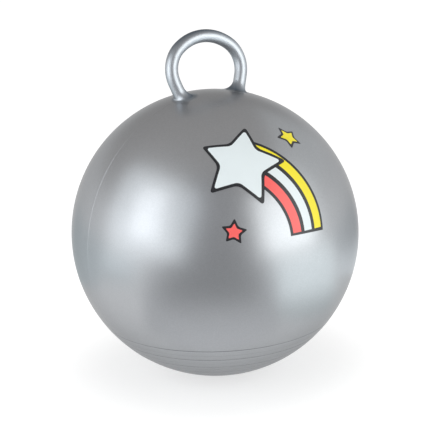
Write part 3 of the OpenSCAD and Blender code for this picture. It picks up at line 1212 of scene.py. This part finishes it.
@dataclass
class Ribbon:
    """The curved trail of stripes behind the big star, on arcs round one centre."""

    centre_across: float = -98.0    # where the arcs' centre lies on the print
    centre_up: float = -84.0
    start: float = 62.0             # degrees from the right, where the trail leaves the star
    end: float = 2.0
    steps: int = 24
    outline: float = 4.8
    coat: int = 1                   # coat of ink that the dark band lies in
    # Each stripe's inner radius, outer radius and ink.
    stripes: tuple[tuple[float, float, Slot], ...] = (
        (162.0, 177.0, Slot.YELLOW), (140.5, 155.5, Slot.WHITE), (119.0, 134.0, Slot.CORAL))

    def band(self, name: str, inner: float, outer: float, start: float, end: float) -> bpy.types.Object:
        """Draws one flat band by spinning its starting edge.

        Args:
            name: The new object's name.
            inner: The band's inner radius.
            outer: The band's outer radius.
            start: The angle where it starts, in degrees.
            end: The angle where it ends, in degrees.

        Returns:
            A flat mesh in the XY plane.
        """
        first = math.radians(start)
        outwards = Vector((math.cos(first), math.sin(first), 0))
        band = trace(name, [tuple(outwards * inner), tuple(outwards * outer)])
        with editing(band):
            bpy.ops.mesh.select_all(action="SELECT")
            bpy.ops.mesh.spin(steps=self.steps, angle=math.radians(start - end), center=(0, 0, 0),
                              axis=(0, 0, 1))
            bpy.ops.mesh.select_all(action="SELECT")
            bpy.ops.mesh.normals_make_consistent(inside=False)
        band.location = (self.centre_across * MM, self.centre_up * MM, 0)
        return band

    def build(self, layer: PrintLayer) -> list[tuple[bpy.types.Object, Slot]]:
        """Prints the stripes over one dark band, which shows between them and round them.

        Args:
            layer: Where the print lies on the ball.

        Returns:
            Each film and its ink.
        """
        inmost = min(inner for inner, _, _ in self.stripes) - self.outline
        outmost = max(outer for _, outer, _ in self.stripes) + self.outline
        edge = math.degrees(self.outline / ((inmost + outmost) / 2))
        dark = self.band("stripes_outline", inmost, outmost, self.start, self.end - edge)
        films = [(layer.lay(dark, self.coat), Slot.BLACK)]
        for number, (inner, outer, ink) in enumerate(self.stripes, 1):
            stripe = self.band(f"stripe_{number}_fill", inner, outer, self.start, self.end)
            films.append((layer.lay(stripe, self.coat + 1), ink))
        return films


# The studio


def direction(azimuth: float, elevation: float) -> Vector:
    """Gives a direction from the ball.

    Args:
        azimuth: Degrees from the front, towards +X.
        elevation: Degrees above the horizon.

    Returns:
        A vector of length 1.
    """
    turn, rise = math.radians(azimuth), math.radians(elevation)
    return Vector((math.sin(turn) * math.cos(rise), -math.cos(turn) * math.cos(rise), math.sin(rise)))


@dataclass
class PhotoCamera:
    """The camera that took the reference view, found from the ball's and handle's outlines."""

    azimuth: float = -32.3
    elevation: float = 16.0
    roll: float = -2.0
    distance: float = 2000.0        # to the ball's centre
    focal_px: float = 1268.9        # focal length in the picture's pixels
    frame_px: float = 430.0
    ball_px: tuple[float, float] = (215.07, 232.0)      # where the ball's centre lies in the picture
    sensor: float = 36.0

    def build(self, centre: Vector) -> bpy.types.Object:
        """Adds the camera and makes it the scene's.

        Args:
            centre: The ball's centre, in millimetres.

        Returns:
            The camera object.
        """
        towards = direction(self.azimuth, self.elevation)
        level = direction(self.azimuth + 90, 0)
        rolled = Matrix.Rotation(-math.radians(self.roll), 3, -towards)
        right = rolled @ level
        up = rolled @ towards.cross(level)
        px = self.distance / self.focal_px
        middle = self.frame_px / 2
        aim = (centre + up * ((self.ball_px[1] - middle) * px)
               - right * ((self.ball_px[0] - middle) * px))
        place = centre + towards * self.distance
        back = (place - aim).normalized()
        side = up.cross(back).normalized()
        facing = Matrix((side, back.cross(side), back)).transposed()
        bpy.ops.object.camera_add(location=place * MM, rotation=facing.to_euler())
        camera = bpy.context.object
        camera.name = "photo_camera"
        camera.data.sensor_width = self.sensor
        camera.data.lens = self.focal_px / self.frame_px * self.sensor
        bpy.context.scene.camera = camera
        return camera


@dataclass(frozen=True)
class Lamp:
    """One softbox or diffusing panel, placed by its direction from the ball."""

    name: str
    azimuth: float                  # degrees from the front, towards +X
    elevation: float                # degrees above the horizon
    distance: float
    width: float
    height: float
    radiance: float                 # how bright its face looks, where 1 is white
    colour: str

    def build(self, centre: Vector) -> bpy.types.Object:
        """Adds the lamp, facing the ball.

        Args:
            centre: The ball's centre, in millimetres.

        Returns:
            The lamp object.
        """
        towards = direction(self.azimuth, self.elevation)
        place = centre + towards * self.distance
        bpy.ops.object.light_add(type="AREA", location=place * MM,
                                 rotation=towards.to_track_quat("Z", "Y").to_euler())
        lamp = bpy.context.object
        lamp.name = self.name
        lamp.data.shape = "RECTANGLE"
        lamp.data.size = self.width * MM
        lamp.data.size_y = self.height * MM
        area = self.width * self.height * MM * MM
        lamp.data.energy = self.radiance * math.pi * area
        lamp.data.color = linear(self.colour)[:3]
        lamp.visible_camera = False
        return lamp


@dataclass(frozen=True)
class Board:
    """A board or cloth that only reflections see, on the floor or upright.

    Grey ones are the unlit side of the studio, and bright ones the floor next to a lamp.
    """

    name: str
    azimuth: float                  # degrees from the front, towards +X
    spread: float                   # degrees from its middle to its sides, seen from the axis
    start: float                    # distance from the ball's axis
    reach: float                    # length along the floor, or height where upright
    near_level: float               # how bright it is where it starts
    level: float                    # how bright it is past the fade
    fade: float = 1.0               # length over which the level changes
    upright: bool = False
    colour: str = "#F3F8FB"
    side_level: float | None = None     # how bright its sides are, where they differ
    side_fade: float = 1.0          # degrees over which the level changes at the sides

    def build(self) -> bpy.types.Object:
        """Adds the board.

        Returns:
            The board.
        """
        board = self.model()
        board.data.materials.append(self.paint())
        board.visible_camera = False
        board.visible_diffuse = False
        board.visible_shadow = False
        return board

    def model(self) -> bpy.types.Object:
        """Shapes a plane to the board's width at both ends, and stands it in its place.

        Returns:
            The bare board.
        """
        near = 2 * self.start * math.tan(math.radians(self.spread))
        far = near if self.upright else near * (self.start + self.reach) / self.start
        board = add_primitive("plane", self.name, size=1)
        with editing(board):
            for width, side in ((near, 1), (far, -1)):
                select_vertices(board, lambda place: place.y * side > 0)
                bpy.ops.transform.resize(value=(width * MM, 1, 1), center_override=(0, 0, 0))
            bpy.ops.mesh.select_all(action="SELECT")
            bpy.ops.transform.resize(value=(1, self.reach * MM, 1), center_override=(0, 0, 0))
        half = self.reach / 2
        middle = (0, -self.start, half) if self.upright else (0, -self.start - half, FLOOR_GAP)
        board.matrix_world = (Matrix.Rotation(math.radians(self.azimuth), 4, "Z")
                              @ Matrix.Translation(Vector(middle) * MM)
                              @ Matrix.Rotation(math.radians(90 if self.upright else 0), 4, "X"))
        bpy.ops.object.transform_apply(location=True, rotation=True, scale=True)
        return board

    def paint(self) -> bpy.types.Material:
        """Makes the board's face, which glows at its level.

        Returns:
            The material.
        """
        material, tree = blank_material(f"{self.name}_face")
        place = add_node(tree, "ShaderNodeTexCoord").outputs["Object"]
        away = add_node(tree, "ShaderNodeVectorMath", {0: place}, operation="LENGTH")
        level = add_node(tree, "ShaderNodeMapRange",
                         {"Value": away.outputs["Value"], "From Min": self.start * MM,
                          "From Max": (self.start + self.fade) * MM, "To Min": self.near_level,
                          "To Max": self.level},
                         interpolation_type="SMOOTHSTEP")
        if self.side_level is not None:
            level = add_node(tree, "ShaderNodeMix",
                             {"Factor": self.middle_share(tree, place), "A": self.side_level,
                              "B": level.outputs["Result"]},
                             data_type="FLOAT")
        glow = add_node(tree, "ShaderNodeEmission",
                        {"Color": linear(self.colour), "Strength": level.outputs["Result"]})
        add_node(tree, "ShaderNodeOutputMaterial", {"Surface": glow.outputs["Emission"]})
        return material

    def middle_share(self, tree: Tree, place: Socket) -> Socket:
        """Tells the board's middle from its sides.

        Args:
            tree: The face's node tree.
            place: The place on the board.

        Returns:
            The share, 1 in the middle and 0 at the sides.
        """
        course = add_node(tree, "ShaderNodeVectorMath", {0: place}, operation="NORMALIZE")
        inwards = add_node(tree, "ShaderNodeVectorMath",
                           {0: course.outputs["Vector"], 1: direction(self.azimuth, 0)},
                           operation="DOT_PRODUCT")
        share = add_node(tree, "ShaderNodeMapRange",
                         {"Value": inwards.outputs["Value"],
                          "From Min": math.cos(math.radians(self.spread)),
                          "From Max": math.cos(math.radians(self.spread - self.side_fade))},
                         interpolation_type="SMOOTHSTEP")
        return share.outputs["Result"]


@dataclass
class Studio:
    """A pale floor and a soft surround, with softboxes, panels and boards on both sides."""

    floor_size: float = 16000.0
    floor_colour: str = "#E8E8E8"
    shade: float = 0.45             # how much of the lamps' light the floor shows to a camera
    glow: float = 0.81              # what it adds to that, which makes it white
    # Painted shadow: the floor's glow is lower under the ball, which deepens its shadow.
    glow_in_painted_shadow: float = 0.60
    painted_shadow_start: float = 150.0       # distances from the ball's axis over which the painted shadow fades into the full glow
    painted_shadow_end: float = 360.0
    # Each lamp's name, azimuth, elevation, distance, width, height, radiance and colour.
    lamps: tuple[Lamp, ...] = (
        Lamp("left_softbox", -87.0, 23.2, 1700.0, 700.0, 980.0, 1.4, "#FAFCFF"),
        Lamp("left_panel", -86.5, 22.5, 1900.0, 2660.0, 2000.0, 1.05, "#F1F9FD"),
        Lamp("right_softbox", 25.3, 17.0, 1700.0, 1440.0, 1280.0, 2.15, "#F4F8F8"),
        Lamp("right_panel", 80.0, 36.0, 1950.0, 2400.0, 1200.0, 0.35, "#EEF8FC"),
    )
    # Each board's name, azimuth, spread, start, reach, near level and level.
    boards: tuple[Board, ...] = (
        Board("front_floor", -36.5, 45.0, 190.0, 2100.0, 1.05, 0.44, fade=420.0, colour="#F8F9FB",
              side_level=0.88, side_fade=27.0),
        Board("front_wall", -32.0, 27.0, 2300.0, 4000.0, 0.42, 0.42, upright=True, colour="#F9F8FB"),
        Board("right_floor", 34.0, 27.0, 270.0, 1500.0, 1.0, 1.95, fade=260.0, colour="#F0F8F9"),
        Board("left_floor", -106.0, 16.0, 600.0, 1300.0, 0.9, 1.5, fade=300.0, colour="#EFF8FB"),
        Board("left_far_floor", -148.0, 26.0, 460.0, 3000.0, 1.1, 0.95, fade=700.0, colour="#EEF8FB"),
        Board("right_far_floor", 88.0, 23.0, 480.0, 3000.0, 1.7, 0.85, fade=600.0),
    )
    sky_low: str = "#FFFFFF"
    sky_high: str = "#C1BEBC"
    sky_rise: tuple[float, float] = (0.12, 0.42)        # upward share where the grey starts and is full
    sky_level: float = 1.0

    def build(self, centre: Vector) -> None:
        """Adds the lamps, the boards, the floor and the surround.

        Args:
            centre: The ball's centre, in millimetres.
        """
        for lamp in self.lamps:
            lamp.build(centre)
        for board in self.boards:
            board.build()
        self.build_floor()
        self.build_surround()

    def build_floor(self) -> None:
        """Adds the floor, which shows white except where the object keeps light from it and where a
        painted shadow dims its glow round the ball.
        """
        floor = add_primitive("plane", "studio_floor", size=self.floor_size * MM)
        material, tree = blank_material("painted_studio_floor")
        paint = add_node(tree, "ShaderNodeBsdfDiffuse", {"Color": linear(self.floor_colour)})
        shade = add_node(tree, "ShaderNodeBsdfDiffuse",
                         {"Color": (self.shade, self.shade, self.shade, 1.0)})
        place = add_node(tree, "ShaderNodeTexCoord").outputs["Object"]
        away = add_node(tree, "ShaderNodeVectorMath", {0: place}, operation="LENGTH")
        # Painted shadow: the glow is dimmer near the ball's axis.
        level = add_node(tree, "ShaderNodeMapRange",
                         {"Value": away.outputs["Value"], "From Min": self.painted_shadow_start * MM,
                          "From Max": self.painted_shadow_end * MM, "To Min": self.glow_in_painted_shadow,
                          "To Max": self.glow},
                         interpolation_type="SMOOTHSTEP")
        glow = add_node(tree, "ShaderNodeEmission", {"Strength": level.outputs["Result"]})
        lit = add_node(tree, "ShaderNodeAddShader",
                       {0: shade.outputs["BSDF"], 1: glow.outputs["Emission"]})
        rays = add_node(tree, "ShaderNodeLightPath")
        seen = add_node(tree, "ShaderNodeMath",
                        {0: rays.outputs["Is Camera Ray"], 1: rays.outputs["Is Glossy Ray"]},
                        operation="MAXIMUM")
        through = add_node(tree, "ShaderNodeMath",
                           {0: seen.outputs["Value"], 1: rays.outputs["Is Transmission Ray"]},
                           operation="MAXIMUM")
        mixed = add_node(tree, "ShaderNodeMixShader",
                         {"Fac": through.outputs["Value"], 1: paint.outputs["BSDF"],
                          2: lit.outputs["Shader"]})
        add_node(tree, "ShaderNodeOutputMaterial", {"Surface": mixed.outputs["Shader"]})
        floor.data.materials.append(material)

    def build_surround(self) -> None:
        """Makes the world white near the horizon and greyer overhead."""
        world = bpy.data.worlds.new("studio_surround")
        bpy.context.scene.world = world
        world.use_nodes = True
        tree = world.node_tree
        tree.nodes.clear()
        towards = add_node(tree, "ShaderNodeTexCoord").outputs["Generated"]
        split = add_node(tree, "ShaderNodeSeparateXYZ", {0: towards})
        white, grey = self.sky_rise
        rise = add_node(tree, "ShaderNodeMapRange",
                        {"Value": split.outputs["Z"], "From Min": white, "From Max": grey},
                        interpolation_type="SMOOTHSTEP")
        tint = add_node(tree, "ShaderNodeMix",
                        {"Factor": rise.outputs["Result"], "A": linear(self.sky_low),
                         "B": linear(self.sky_high)},
                        data_type="RGBA")
        glow = add_node(tree, "ShaderNodeBackground",
                        {"Color": tint.outputs["Result"], "Strength": self.sky_level})
        add_node(tree, "ShaderNodeOutputWorld", {"Surface": glow.outputs["Background"]})


# The whole


@dataclass
class HopperBall:
    """The whole toy: it takes the ball's size from the CAD, and builds and dresses every piece."""

    radius: float = field(init=False)
    centre_z: float = field(init=False)
    skin: BallSkin = field(init=False)

    def __post_init__(self) -> None:
        """Reads the ball's radius and centre from the CAD node's box."""
        low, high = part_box("ball_skin")
        self.radius = (high.x - low.x) / 2 / MM
        self.centre_z = high.z / MM - self.radius
        self.skin = BallSkin(self.radius, self.centre_z)

    def build(self) -> None:
        """Models and dresses every piece of the toy."""
        pearl = PearlVinyl(self.skin.centre, self.radius)
        skin = self.skin.build()
        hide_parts("ball_skin")
        finish_piece(skin, pearl.make(), Body.BALL)
        handle = RingHandle(self.radius, self.centre_z).build()
        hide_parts("ring_handle")
        finish_piece(handle, GlossVinyl(pearl).make(), Body.BALL)
        valve_seat = ValveSeat(self.radius, self.centre_z)
        seat = valve_seat.build()
        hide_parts("valve_seat")
        # Plasticised PVC looks soft and dull, with greyer spots where its plasticiser comes out.
        rubbery = MouldedPlastic("soft_pvc_moulded", "#B9BBBE", "#ADAFB2", roughness=0.5, ior=1.52)
        finish_piece(seat, rubbery.make(), Body.BALL)
        plug = ValvePlug(valve_seat).build()
        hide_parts("valve_plug")
        # Polyethylene is milky and waxy, with a soft sheen and a warm tinge where it is handled.
        waxy = MouldedPlastic("polyethylene_moulded", "#F2F2EE", "#E9E9E4", roughness=0.38, ior=1.51)
        finish_piece(plug, waxy.make(), Body.PLUG)
        self.print_motifs()

    def print_motifs(self) -> None:
        """Prints the stars and the striped trail on the front."""
        inks = {
            Slot.WHITE: ScreenInk("vinyl_ink_white", "#DFE7E9", "#D8E0E2"),
            Slot.BLACK: ScreenInk("vinyl_ink_black", "#17181C", "#1E1F24"),
            Slot.YELLOW: ScreenInk("vinyl_ink_yellow", "#F0E020", "#E8D820"),
            Slot.CORAL: ScreenInk("vinyl_ink_coral", "#F4625E", "#EC5C58"),
        }
        materials = {slot: ink.make() for slot, ink in inks.items()}
        layer = PrintLayer(self.radius, self.centre_z)
        films = Ribbon().build(layer)
        stars = (
            Star("big_star", across=-34.0, up=39.0, radius=72.0, fill=Slot.WHITE, turn=12.0, coat=3),
            Star("yellow_star", across=66.0, up=78.0, radius=25.0, fill=Slot.YELLOW, turn=-14.0,
                 outline=3.6, tip_round=3.0),
            Star("coral_star", across=-74.0, up=-63.0, radius=22.0, fill=Slot.CORAL, turn=20.0,
                 outline=3.6, tip_round=3.0),
        )
        for star in stars:
            films += star.build(layer)
        for film, slot in films:
            finish_piece(film, materials[slot], Body.BALL)


def main() -> None:
    """Builds the camera, the studio and the toy."""
    logging.basicConfig(level=logging.INFO, format="%(name)s: %(message)s")
    toy = HopperBall()
    PhotoCamera().build(toy.skin.centre)
    Studio().build(toy.skin.centre)
    toy.build()
    bpy.context.scene.view_settings.view_transform = "Standard"


if __name__ == "__main__":
    main()
